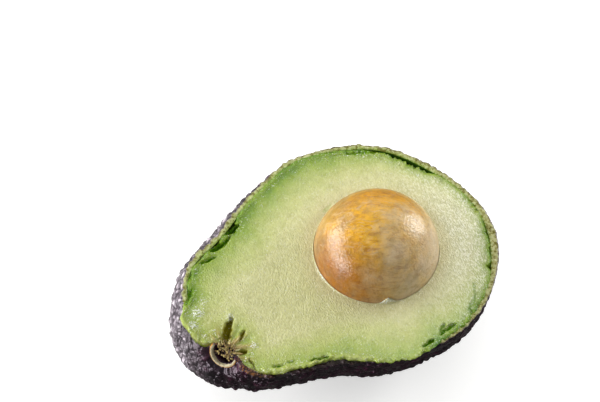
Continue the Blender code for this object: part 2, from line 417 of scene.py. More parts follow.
def pebbles(points):
    # Height, share of the full height, and the pebble's own tint at each point.
    middles, sizes, tints = pebbleMiddles()
    squeeze = np.array([1 / skinShape["stretch"], 1, 1])
    tree = nearTree(middles * squeeze)
    wobble = np.stack([noiseAt(points, 1.5, shift) for shift in (3.1, 7.7, 12.3)], axis=1)
    share = np.empty(len(points))
    tint = np.empty(len(points))
    for i, point in enumerate((points + skinShape["wobble"] * wobble) * squeeze):
        (_, first, near), (_, _, far) = tree.find_n(point, 2)
        crease = min((far - near) / skinShape["creaseWidth"], 1)
        share[i] = crease * (2 - crease) * sizes[first]
        tint[i] = tints[first]
    stemAway = stemDistance(points)
    pebbled = ease(stemAway, 5, 9)
    share *= pebbled * (0.45 + 0.55 * ease(stemAway, 9, 19))
    height = skinShape["pebbleHeight"] * (share - 0.38 * pebbled)
    height += skinShape["fine"] * noiseAt(points, 0.8, 5.5)
    height *= 1 - skinShape["calm"] * bumpAt(seedHeading(points), -25, 60) * ease(points[:, 2], -12, -1)
    height += skinShape["swell"] * noiseAt(points, 7, 9.1)
    height += skinShape["stemLumps"] * (noiseAt(points, 3.2, 2.9) + 0.4) * bell(stemAway, 22) * pebbled
    height += skinShape["furrows"] * stemSpokes(points) * bell(stemAway - 10, 6)
    for along, spread, most in skinShape["swellings"]:
        height += most * bell(points[:, 0] - along, spread) * ease(-points[:, 1], 16, 26)
    x, y, radius = skinShape["restSpot"]
    spot = np.hypot(points[:, 0] - x, points[:, 1] - y) / radius
    flat = np.where(points[:, 2] < -17, np.clip(spot * 2 - 1, 0, 1), 1)
    return height * flat, share, tint


def rimAngle(points):
    along = np.clip(points[:, 0] / fruit["halfLength"], -1, 1)
    offset = stationValue(fruit["stationOffsets"], along)
    width = stationValue(fruit["stationWidths"], along)
    return np.arctan2((points[:, 1] - offset) / width, points[:, 0] / fruit["halfLength"])


def rimDrop(points):
    # The rim is torn lower where the flesh was dragged over it.
    heading = seedHeading(points)
    drop = 0.10 + 0.42 * np.clip(tableAt(reaches, heading), 0, 2.6)
    return drop + (0.08 + 0.10 * tableAt(bareness, heading)) * noiseAt(points * [1, 1, 0], 5, 2.2)


def cubeDirections(bm):
    return unit(np.tan(places(bm.verts) * math.pi / 4))


def makeSkin(material):
    bm = bmesh.new()
    bmesh.ops.create_cube(bm, size=2)
    bmesh.ops.subdivide_edges(bm, edges=bm.edges, cuts=skinShape["cuts"], use_grid_fill=True)
    cutOff(bm, 0.06)
    stemAway = stemDistance(fruitSurface(cubeDirections(bm)))
    near = {vertex for vertex, away in zip(bm.verts, stemAway) if away < skinShape["finerWithin"]}
    fine = [edge for edge in bm.edges if near.issuperset(edge.verts)]
    bmesh.ops.subdivide_edges(bm, edges=fine, cuts=1, use_grid_fill=True)
    layers = newLayers(bm, "pebble", "tint", "inward", "angle", "bloom", "bare", "warm", "brown")
    directions = cubeDirections(bm)
    smooth = fruitSurface(directions)
    height, share, tint = pebbles(smooth)
    placeVerts(bm.verts, layerPoints(directions, -height))
    # Bloom and painted light: the neck's flank on the lit side is marked to be painted pale.
    bloom = bell(directions[:, 0] + 0.8, 0.5) * ease(directions[:, 1], -0.5, 0.0)
    bloom *= (1.1 + 0.7 * noiseAt(smooth, 4, 8.3)) * ease(stemDistance(smooth), 5, 10)
    writeLayers(bm.verts, layers, pebble=share, tint=tint, bloom=bloom)
    loop = cutOff(bm, 0)
    points = places(bm.verts)
    points[:, 2] -= rimDrop(points) * np.exp(points[:, 2] / skinShape["rimFade"])
    placeVerts(bm.verts, points)
    edgeVerts = list({v for edge in loop for v in edge.verts})
    writeLayers(edgeVerts, layers, angle=rimAngle(places(edgeVerts)))

    # The cut rim, from the outside inwards
    done = 0.0
    for step in skinShape["rimSteps"]:
        loop, verts = newRing(bm, loop)
        here = places(verts)
        angles = readLayer(verts, layers["angle"])
        broader = -np.clip(tableAt(reaches, seedHeading(here)), None, 0)
        inner = layerPoints(around(angles, 0), fruit["skinThickness"] + broader)
        points = here + (inner - here) * ((step - done) / (1 - done))
        crown = 0.16 * (1 - (1 - min(step / 0.3, 1)) ** 2) - 0.12 * ease(step, 0.75, 1.0)
        grain = 0.24 * noiseAt(points, 0.6, 1.1) + 0.16 * noiseAt(points, 1.6, 4.1)
        grain -= 0.5 * np.clip(noiseAt(points, 0.9, 6.3) - 0.25, 0, 1)
        points[:, 2] = crown - rimDrop(points) + grain * min(step / 0.15, 1)
        placeVerts(verts, points)
        heading = seedHeading(points)
        writeLayers(verts, layers, inward=step, bare=tableAt(bareness, heading),
                    warm=bumpAt(heading, -25, 48), brown=sumOfBumps(skinShape["rimStains"], heading))
        done = step

    # The wall against the flesh, down to the bottom
    for dip in skinShape["wallDips"]:
        loop, verts = newRing(bm, loop)
        thickness = fruit["skinThickness"] + broader * math.exp(-dip / 3)
        points = layerPoints(around(readLayer(verts, layers["angle"]), dip), thickness)
        points[:, 2] = np.minimum(points[:, 2], -rimDrop(points) - 0.05 * dip)
        placeVerts(verts, points)
        writeLayers(verts, layers, inward=1.2)
    closeRing(bm, verts)
    return finishPiece("skinShell", bm, material, "skin", "skin")


# ---- flesh
fleshShape = {
    "columns": 720,
    "rings": 62,
    "wallDips": (0.8, 1.6, 2.6, 3.8, 5.5, 10, 15, 24, 36, 50, 65, 78),
    "hollowDips": (2, 6, 12, 22, 36, 52, 70),
    "overlap": 0.05,          # mm into the skin
    "seedGap": 0.2,
    "finerWithin": 13,        # mm from the stem
    "creviceDepth": 2.2,
    "lipSteps": ((0.22, 0.25), (0.26, 1.0), (0.08, 0.96)),    # mm off the seed, share of the height
    "greenDepth": 8,          # mm from the edge to the palest flesh
    # How much wider that is in places: heading, half spread and mm
    "greenBands": ((165, 28, 5.5), (118, 32, 6.5), (-5, 60, -3.0), (50, 16, -2.5), (-112, 45, 6.0),
                   (-58, 20, 2.5), (75, 25, 1.5)),
    "edgeStains": ((-157, 6, 1.0), (-172, 4, 0.6)),
    "flapHeading": -104,
    "flapSpread": 7,
    "flapRise": 2.5,
}
fleshReads = ("green", "pit", "fold", "stain", "froth", "ochre", "warm", "cream")


def fleshEdge(headings):
    # Angle round the cut and distance from the seed's middle, for each heading.
    angles = np.linspace(-math.pi, math.pi, 3000)
    rim = layerPoints(around(angles, 0), fruit["skinThickness"] - fleshShape["overlap"])
    rimHeading = np.unwrap(seedHeading(rim))
    x, y, _ = fruit["seedCentre"]
    reach = np.hypot(rim[:, 0] - x, rim[:, 1] - y)
    order = np.argsort(rimHeading)
    rimHeading, angles, reach = rimHeading[order], angles[order], reach[order]
    wrapped = (headings - rimHeading[0]) % (2 * math.pi) + rimHeading[0]
    return np.interp(wrapped, rimHeading, angles), np.interp(wrapped, rimHeading, reach)


def creviceWidth(headings, points):
    width = np.zeros(len(headings))
    ragged = noiseAt(points * [1, 1, 0.3], 0.9, 6.6) + 0.5 * noiseAt(points, 0.45, 8.8)
    for middle, spread, most, rough in crevices:
        width += bumpAt(headings, middle, spread) * (most + rough * ragged)
    return np.clip(width, -0.1, None) - 0.22 - 0.16 * ragged


def splitDepth(points, rows):
    depth = np.zeros(len(points))
    for start, end, width, deepest in rows:
        start, end = np.array(start), np.array(end)
        length = np.linalg.norm(end - start)
        along = (end - start) / length
        place = (points[:, :2] - (start + end) / 2) @ along / (length / 2) + 0.4 * noiseAt(points, 1.6, 8.1)
        aside = (points[:, :2] - start) @ np.array([-along[1], along[0]])
        aside += 0.45 * noiseAt(points, 1.3, 3.3) + 0.3 * noiseAt(points, 0.6, 5.3)
        half = width / 2 * np.sqrt(np.clip(1 - np.abs(place) ** 3, 0, 1)) + 1e-6
        depth = np.maximum(depth, deepest * (1 - ease(np.abs(aside) / half, 0.4, 1.0)) * (np.abs(place) < 1))
    return depth


def stemFan(points):
    # Distance from the stem in the cut face, and noise that only changes round it.
    x, y = points[:, 0] - fruit["stemPoint"][0], points[:, 1] - fruit["stemPoint"][1]
    distance = np.hypot(x, y)
    turn = np.arctan2(y, x)
    return distance, noiseAt(np.stack([4.2 * turn, 0.16 * distance, 0 * turn], axis=1), 1.0, 3.7)


def nearFroth(points, x, y, size):
    return bell(np.hypot(points[:, 0] - x, points[:, 1] - y), size)


def faceRelief(points, edgeDistance, heading):
    # The cut face: nearly flat, lumpy at its torn edge, in fans and lumps near the stem.
    flat = points * [1, 1, 0]
    height = 0.12 * noiseAt(flat, 9, 1.9) + 0.05 * noiseAt(flat, 2.2, 4.4)
    grain = 0.6 * noiseAt(flat, 1.25, 7.9) + 0.55 * noiseAt(flat, 0.6, 2.6)
    height += (sumOfBumps(tears, heading) + 0.10) * grain * bell(edgeDistance, 2.2)
    height += tableAt(lips, heading) * bell(edgeDistance - 0.8, 0.8) * (1 + 0.7 * noiseAt(flat, 2.0, 6.2))
    stem, fan = stemFan(points)
    height += 0.42 * fan * bell(stem - 5, 4)
    for x, y, size, lumps in froths:
        height += lumps * nearFroth(points, x, y, size) * (0.4 + grain)
    return height - splitDepth(points, splits) - splitDepth(points, folds)


def fleshPaint(points, distance, heading, radius):
    # What the material reads at each point, by name
    green = distance / (fleshShape["greenDepth"] + sumOfBumps(fleshShape["greenBands"], heading))
    green += 0.45 * tableAt(lips, heading) * bell(distance - 0.7, 0.8) + 0.12 * bumpAt(heading, -5, 60)
    green += 0.3 * tableAt(bareness, heading) * np.exp(-distance / 3)
    green = np.where(points[:, 2] < -1.5, np.where(radius < 19.5, 1.0, 0.0), green)
    fold = np.clip(1.5 * splitDepth(points, folds) * (1 + 0.5 * noiseAt(points, 1.1, 2.8)), 0, 1.2)
    stem, fan = stemFan(points)
    inwards = (points[:, :2] - np.array(fruit["stemPoint"][:2])) @ -stemAxis()[:2]
    ochre = bell(stem - 4.5, 3.8) * np.clip(0.55 + 1.3 * fan, 0, 1) * ease(inwards, -0.5, 2.0)
    stain = bell(stem, 3.6) * (0.7 + 0.6 * noiseAt(points, 1.6, 9.9))
    stain += 0.9 * np.exp(-distance / 0.35) * sumOfBumps(fleshShape["edgeStains"], heading)
    # White flecks of froth and painted glints: on the froth lumps, the torn edges and along the seed.
    froth = 0.9 * bumpAt(heading, -172, 16) * (np.abs(radius - 18.6) < 0.5) * (points[:, 2] > -0.5)
    for x, y, size, _ in froths:
        froth += min(size / 1.5, 1) * nearFroth(points, x, y, size)
    froth += 0.25 * np.clip(sumOfBumps(tears, heading) / 0.4, 0, 1) * bell(distance - 1.6, 1.3)
    froth *= 1 - np.clip(fold, 0, 1)
    # Painted sheen: the flap of flesh on the seed is whitened with flecks.
    onSeed = (points[:, 2] > 0.15) & (radius < 19.5)
    froth += 0.9 * bumpAt(heading, fleshShape["flapHeading"], 10) * onSeed
    # Cream and painted sheen: pale on the blossom end's side near the edge, and faintly over the whole face.
    cream = bumpAt(heading, -10, 55) * ease(distance, 0.3, 2.0) * ease(radius, 17, 24)
    pit = np.clip(splitDepth(points, splits) / 0.8, 0, 1)
    return {"green": green, "pit": pit, "fold": fold, "stain": stain, "froth": froth, "ochre": ochre,
            "warm": bell(np.clip(radius - 18.5, 0, None), 3.5),
            "cream": np.maximum(cream, 0.14 * ease(distance, 3, 9))}


def makeFlesh(material):
    cx, cy, cz = fruit["seedCentre"]
    ra, rb, rc = fruit["seedRadii"]
    bm = bmesh.new()
    bmesh.ops.create_circle(bm, cap_ends=False, segments=fleshShape["columns"], radius=1)
    layers = newLayers(bm, "heading", *fleshReads)
    circle = places(bm.verts)
    writeLayers(bm.verts, layers, heading=np.arctan2(circle[:, 1], circle[:, 0]))
    headings = readLayer(bm.verts, layers["heading"])
    _, reach = fleshEdge(headings)
    flat = aroundSeed(headings, reach, reach, 0)
    smear = tableAt(reaches, headings)
    waves = 0.6 * noiseAt(flat, 2.6, 5.2) + 0.8 * noiseAt(flat, 1.2, 0.7)
    edge = reach + smear + waves * np.clip(smear + 0.2, 0, 1) - creviceWidth(headings, flat)
    edgePoints = aroundSeed(headings, edge, edge, 0.12 * np.clip(smear, 0, 1.5) - 0.06)
    placeVerts(bm.verts, edgePoints)

    # Outer wall, down to the bottom
    first = bm.edges[:]
    loop = first
    for dip in fleshShape["wallDips"]:
        loop, verts = newRing(bm, loop)
        headings = readLayer(verts, layers["heading"])
        angles, _ = fleshEdge(headings)
        points = layerPoints(around(angles, dip), fruit["skinThickness"] - fleshShape["overlap"])
        shallow = bell(0.75 * dip, fleshShape["creviceDepth"])
        out = tableAt(reaches, headings) * (0.75 if dip < 1 else 0)
        out += (0.22 - creviceWidth(headings, points)) * shallow
        placeVerts(verts, points + aroundSeed(headings, out, out, 0) - [cx, cy, 0])
    closeRing(bm, verts)

    # Cut face, inwards to the seed's hollow
    loop, done = first, 0.0
    for ring in range(1, fleshShape["rings"] + 1):
        loop, verts = newRing(bm, loop)
        headings = readLayer(verts, layers["heading"])
        lip = ra * rb / np.hypot(rb * np.cos(headings), ra * np.sin(headings)) + 0.30
        share = (ring / fleshShape["rings"]) ** 1.12
        points = places(verts)
        points += (aroundSeed(headings, lip, lip, 0) - points) * ((share - done) / (1 - done))
        points[:, 2] = 0
        placeVerts(verts, points)
        done = share

    # Thin lip and the flap of flesh that clings to the seed, then the hollow
    for out, rise in fleshShape["lipSteps"]:
        loop, verts = newRing(bm, loop)
        headings = readLayer(verts, layers["heading"])
        flap = bumpAt(headings, fleshShape["flapHeading"], fleshShape["flapSpread"]) ** 1.5
        film = 0.25 * bumpAt(headings, -172, 22) + 0.10
        up = (fleshShape["flapRise"] * flap + film) * rise
        lift = np.arcsin(np.clip((up - cz) / rc, -1, 1))
        size = 1 + out / rc
        across = size * np.cos(lift)
        placeVerts(verts, aroundSeed(headings, ra * across, rb * across, cz + rc * size * np.sin(lift)))
    for dip in fleshShape["hollowDips"]:
        loop, verts = newRing(bm, loop)
        down = math.radians(dip)
        size = 1 + fleshShape["seedGap"] / rc
        across = size * math.cos(down)
        headings = readLayer(verts, layers["heading"])
        placeVerts(verts, aroundSeed(headings, ra * across, rb * across, cz - rc * size * math.sin(down)))
    bmesh.ops.pointmerge(bm, verts=verts, merge_co=(cx, cy, cz - rc - fleshShape["seedGap"]))

    # Finer where the flesh split at the stem
    stem, within = Vector(fruit["stemPoint"]), fleshShape["finerWithin"]
    near = [edge for edge in bm.edges
            if all(abs(v.co.z) < 0.01 and (v.co - stem).length < within for v in edge.verts)]
    bmesh.ops.subdivide_edges(bm, edges=near, cuts=1, use_grid_fill=True)

    # Relief of the cut face
    verts = list(bm.verts)
    points = places(verts)
    heading = seedHeading(points)
    tree = nearTree(edgePoints * [1, 1, 0])
    distance = np.array([tree.find(point)[2] for point in points * [1, 1, 0]])
    rounded = -0.07 * np.exp(-distance / 0.25)
    edgeLift = np.clip(tableAt(reaches, heading), 0, 2) * 0.12 * np.exp(-distance / 1.5)
    onFace = np.abs(points[:, 2]) < 0.01
    points[:, 2] += np.where(onFace, faceRelief(points, distance, heading) + rounded + edgeLift, 0)
    placeVerts(verts, points)
    radius = np.hypot(points[:, 0] - cx, points[:, 1] - cy)
    for name, values in fleshPaint(points, distance, heading, radius).items():
        writeLayers(verts, layers, **{name: np.clip(values, 0, 2)})
    return finishPiece("fleshBody", bm, material, "flesh", "flesh")


# ---- seed
seedShape = {"subdivisions": 6, "uneven": 0.16, "broad": 14.0}


def makeSeed(material):
    bm = bmesh.new()
    bmesh.ops.create_icosphere(bm, subdivisions=seedShape["subdivisions"], radius=1)
    directions = places(bm.verts)
    points = directions * np.array(fruit["seedRadii"])
    points += directions * (seedShape["uneven"] * (noiseAt(points, seedShape["broad"], 2.5) - 0.4))[:, None]
    placeVerts(bm.verts, points + np.array(fruit["seedCentre"]))
    return finishPiece("seedStone", bm, material, "seed", "seed")


# ---- stem
stemLook = {
    "ringRadius": 4.0,
    "ringWidth": 0.48,
    "ringDepth": 1.2,
    "crumbs": 190,
    "strands": (-26, -10, 6, 20, 33, 44, 80, 94),    # headings in degrees
    "seed": 3,
}


def makeStemRing(material):
    # A ring with a groove round its outer face, turned about the stem's axis and cut at the face.
    bm = bmesh.new()
    bmesh.ops.create_circle(bm, cap_ends=False, segments=28, radius=1)
    outward = bm.verts.layers.float.new("outward")
    for vertex in bm.verts:
        vertex[outward] = 0.5 + 0.5 * vertex.co.x
        a = math.atan2(vertex.co.y, vertex.co.x)
        groove = 0.22 * bell(math.cos(a), 0.25) if vertex.co.y > 0 else 0
        x = stemLook["ringRadius"] + stemLook["ringWidth"] * math.cos(a)
        vertex.co = (x, 0, stemLook["ringDepth"] * math.sin(a) * (1 - groove) - 0.2)
    bmesh.ops.spin(bm, geom=bm.verts[:] + bm.edges[:], cent=(0, 0, 0), axis=(0, 0, 1),
                   dvec=(0, 0, 0), angle=math.tau, steps=120, use_merge=True, use_duplicate=False)
    bmesh.ops.remove_doubles(bm, verts=bm.verts, dist=0.001)
    points = places(bm.verts)
    rough = 0.07 * noiseAt(points, 0.8, 2.2) + 0.10 * noiseAt(points, 3, 5.1)
    placeVerts(bm.verts, points + unit(points * [1, 1, 0.2]) * rough[:, None])
    axis = Vector(stemAxis())
    turned = Vector((0, 0, 1)).rotation_difference(axis).to_matrix().to_4x4()
    bmesh.ops.transform(bm, verts=bm.verts, matrix=Matrix.Translation(fruit["stemPoint"]) @ turned)
    bmesh.ops.holes_fill(bm, edges=cutOff(bm, 0))
    return finishPiece("stemRing", bm, material, "stem_ring", "stem_ring")


def makeStemFibres(material):
    # Torn brown crumbs of the stem's core inside the ring, and pale strands that fan into the flesh.
    rng = random.Random(stemLook["seed"])
    bm = bmesh.new()
    layers = newLayers(bm, "tone")
    base = Vector(fruit["stemPoint"])
    heading = math.radians(fruit["stemHeading"] + 180)
    inwards = Vector((math.cos(heading), math.sin(heading), 0))
    sideways = Vector((-inwards.y, inwards.x, 0))
    for i in range(stemLook["crumbs"] + len(stemLook["strands"])):
        made = bmesh.ops.create_icosphere(bm, subdivisions=2, radius=1)["verts"]
        shade = rng.uniform(0, 0.8)
        crumb = i < stemLook["crumbs"]
        if crumb:
            out = rng.uniform(-0.7, 3.6)
            side = rng.uniform(-1, 1) * (2.9 - 0.25 * out)
            lift = rng.uniform(-1.1, 0.2) - 0.7 * (out < 0.3)
            place = base + inwards * out + sideways * side + Vector((0, 0, lift))
            size = (rng.uniform(0.15, 0.4), rng.uniform(0.12, 0.28), rng.uniform(0.12, 0.26))
            turn = rng.uniform(0, math.tau)
        else:
            turn = math.radians(stemLook["strands"][i - stemLook["crumbs"]])
            half = rng.uniform(0.9, 1.9)
            start = rng.uniform(2.0, 3.0)
            place = base + Vector((math.cos(turn), math.sin(turn), 0)) * (start + half)
            place += Vector((0, 0, rng.uniform(-0.25, -0.1)))
            size = (half, rng.uniform(0.2, 0.34), rng.uniform(0.2, 0.3))
            shade = rng.uniform(0.55, 1.0)
        tip = Matrix.Rotation(rng.gauss(0, 0.8 if crumb else 0.05), 4, "Y")
        points = places(made)
        points *= 1 + 0.55 * noiseAt(points + rng.random() * 40, 0.7, 1.3)[:, None]
        placeVerts(made, points)
        writeLayers(made, layers, tone=shade)
        shape = Matrix.Translation(place) @ Matrix.Rotation(turn, 4, "Z") @ tip @ Matrix.Diagonal((*size, 1))
        bmesh.ops.transform(bm, verts=made, matrix=shape)
    return finishPiece("stemFibres", bm, material, "stem_ring")


# ---- materials
times = {"operation": "MULTIPLY"}
noiseRange = {"From Min": 0.3, "From Max": 0.7}    # most of a noise's values

# Avocado skin: a thin waxy rind, nearly black with a purple cast, dull bloom over pebbles that
# shine on top, and a pale granular edge where the knife went through it.
skinLook = {
    # pebble: from the creases to the pebbles' tops; its dark crease end is painted shade
    "pebble": ((0.0, "#080506"), (0.3, "#150b11"), (0.7, "#361b29"), (1.0, "#543443")),
    "purple": "#461030",
    "bloom": "#e2d8e0",
    "speckBrown": "#7a4526",
    "speckOlive": "#5a5a28",
    "rim": ((0.0, "#33261f"), (0.10, "#655a38"), (0.24, "#989a5c"), (0.5, "#a8b268"), (0.85, "#97b04e"),
            (1.0, "#7ba034")),
    "edge": "#b5aca6",
    "warm": "#b0ac68",
    "fleckPale": "#c8cc98",
    "fleckDark": "#6d6a22",
    "brown": "#8a5a26",
    "innerWall": "#3f6a1c",
}


def skinMaterial():
    look = skinLook
    material, add = newMaterial("avocadoSkin")
    place = add("TexCoord").outputs["Object"]
    read = {name: add("Attribute", {"attribute_name": name})
            for name in ("pebble", "tint", "inward", "bloom", "bare", "warm", "brown")}
    patches = add("TexNoise", {"Scale": 130, "Detail": 4, "Roughness": 0.6}, {"Vector": place})
    fine = add("TexNoise", {"Scale": 1500, "Detail": 4, "Roughness": 0.65}, {"Vector": place})
    # Small wrinkles about 2.6 mm apart divide the pebbles.
    wander = add("TexNoise", {"Scale": 500, "Detail": 2}, {"Vector": place})
    bent = add("VectorMath", {"operation": "MULTIPLY_ADD", 1: (0.0024, 0.0024, 0.0024)},
               {0: wander.outputs["Color"], 2: place})
    cells = add("TexVoronoi", {"feature": "DISTANCE_TO_EDGE", "Scale": 380}, {"Vector": bent})
    wrinkle = add("MapRange", {"From Max": 0.4, "interpolation_type": "SMOOTHSTEP"}, {0: cells})
    # Painted shade: the pebbles' colour darkens from their tops down into the creases.
    shade = add("ValToRGB", {"stops": look["pebble"]}, {"Fac": read["pebble"]})
    purple = add("ValToRGB", {"stops": ((0.4, 0.0), (0.65, 0.8))}, {"Fac": patches})
    tinted = add("Mix", {7: look["purple"]}, {0: purple, 6: shade})
    # A few pebbles have a corky brown or an olive top.
    chosen = add("ValToRGB", {"stops": ((0.88, 0.0), (0.93, 1.0))}, {"Fac": read["tint"]})
    onTop = add("ValToRGB", {"stops": ((0.55, 0.0), (0.85, 0.7))}, {"Fac": read["pebble"]})
    corky = add("Math", times, {0: chosen, 1: onTop})
    speckColour = add("ValToRGB", {"stops": ((0.45, look["speckBrown"]), (0.6, look["speckOlive"]))},
                      {"Fac": fine})
    specked = add("Mix", {}, {0: corky, 6: tinted, 7: speckColour})
    # Waxy bloom on the neck's flank, with painted light: that flank is painted pale where light falls on it.
    # The bloom is rubbed off in patches, and kept out of the creases as painted shade.
    rubbed = add("ValToRGB", {"stops": ((0.36, 0.35), (0.58, 1.0))}, {"Fac": patches})
    waxAndLight = add("Math", times, {0: read["bloom"], 1: rubbed})
    raised = add("MapRange", {"From Min": 0.05, "From Max": 0.5, "To Min": 0.2}, {0: read["pebble"]})
    bloomAndLightHere = add("Math", times, {0: waxAndLight, 1: raised})
    bloomedAndLit = add("Mix", {7: look["bloom"]}, {0: bloomAndLightHere, 6: specked})
    # Painted shade: the colour is darker down in the small wrinkles.
    wrinkleShade = add("MapRange", {"To Min": 0.2}, {0: wrinkle})
    wrinkleShaded = add("Mix", {"blend_type": "MULTIPLY", 0: 1.0}, {6: bloomedAndLit, 7: wrinkleShade})
    # The cut rim, from its dark outer line to green against the flesh
    sway = add("MapRange", {**noiseRange, "To Min": -0.14, "To Max": 0.14}, {0: fine})
    deep = add("Math", {"operation": "ADD"}, {0: read["inward"], 1: sway})
    rim = add("ValToRGB", {"stops": look["rim"]}, {"Fac": deep})
    middle = add("ValToRGB", {"stops": ((0.1, 0.0), (0.35, 0.85), (0.8, 0.7), (1.0, 0.0))}, {"Fac": deep})
    warmHere = add("Math", times, {0: middle, 1: read["warm"]})
    # The skin's own edge shows as a thin silvery line, except along the top.
    outermost = add("ValToRGB", {"stops": ((0.06, 0.9), (0.2, 0.0))}, {"Fac": deep})
    silvery = add("Math", {"operation": "MAXIMUM"}, {0: read["warm"], 1: read["bloom"]})
    edgeHere = add("Math", times, {0: outermost, 1: silvery})
    grains = add("TexNoise", {"Scale": 1050, "Detail": 3, "Roughness": 0.7}, {"Vector": place})
    paleHere = add("ValToRGB", {"stops": ((0.50, 0.0), (0.62, 0.7))}, {"Fac": grains})
    darkHere = add("ValToRGB", {"stops": ((0.41, 0.9), (0.48, 0.0))}, {"Fac": grains})
    for name, share in (("warm", warmHere), ("edge", edgeHere), ("fleckPale", paleHere),
                        ("fleckDark", darkHere)):
        rim = add("Mix", {7: look[name]}, {0: share, 6: rim})
    # Where no flesh covers it, the rim looks like the rest of the skin.
    bared = add("Mix", {}, {0: read["bare"], 6: rim, 7: wrinkleShaded})
    crumbs = add("ValToRGB", {"stops": ((0.45, 0.0), (0.6, 1.0))}, {"Fac": fine})
    brownHere = add("Math", times, {0: crumbs, 1: read["brown"]})
    browned = add("Mix", {7: look["brown"]}, {0: brownHere, 6: bared})
    onRim = add("ValToRGB", {"stops": ((0.02, 0.0), (0.07, 1.0))}, {"Fac": read["inward"]})
    cut = add("Mix", {}, {0: onRim, 6: wrinkleShaded, 7: browned})
    inside = add("Math", {"operation": "GREATER_THAN", 1: 1.05}, {0: read["inward"]})
    colour = add("Mix", {7: look["innerWall"]}, {0: inside, 6: cut})
    rough = add("MapRange", {**noiseRange, "To Min": 0.12, "To Max": 0.28}, {0: patches})
    covered = add("Math", {"operation": "SUBTRACT", 0: 1.0}, {1: read["bare"]})
    fleshy = add("Math", times, {0: onRim, 1: covered})
    offRim = add("Math", {"operation": "SUBTRACT", 0: 1.0}, {1: fleshy})
    pebbled = add("MapRange", {"From Max": 0.25, "To Min": 0.1}, {0: read["pebble"]})
    wrinkleShare = add("Math", times, {0: offRim, 1: pebbled})
    wrinkleHeight = add("Math", times, {0: wrinkle, 1: wrinkleShare})
    height = add("Math", {"operation": "MULTIPLY_ADD", 1: 0.18}, {0: fine, 2: wrinkleHeight})
    bump = add("Bump", {"Strength": 1.0, "Distance": 0.0006}, {"Height": height})
    add("BsdfPrincipled", {"IOR": 1.48, "Specular Tint": "#ead6e6"},
        {"Base Color": colour, "Roughness": rough, "Normal": bump})
    return material


# Ripe avocado flesh: smooth, oily and wet, deep green under the skin and pale yellow inside,
# faintly see-through, with fine moist streaks where the knife passed.
fleshLook = {
    "ramp": ((0.0, "#558406"), (0.06, "#6c9410"), (0.18, "#88a622"), (0.4, "#a8ba44"), (0.7, "#c4cb6c"),
             (1.0, "#d6d68c")),
    "warm": "#d2c68c",
    "ochre": "#b09a4c",
    "stain": "#6f4e24",
    "pit": "#9c941c",
    "pitShaded": "#6a6410",
    "fold": "#78a816",
    "foldShaded": "#4a7a06",
    "cream": "#f8f8dd",
    "froth": "#f2f4e8",
    "streakTurn": -24,
}


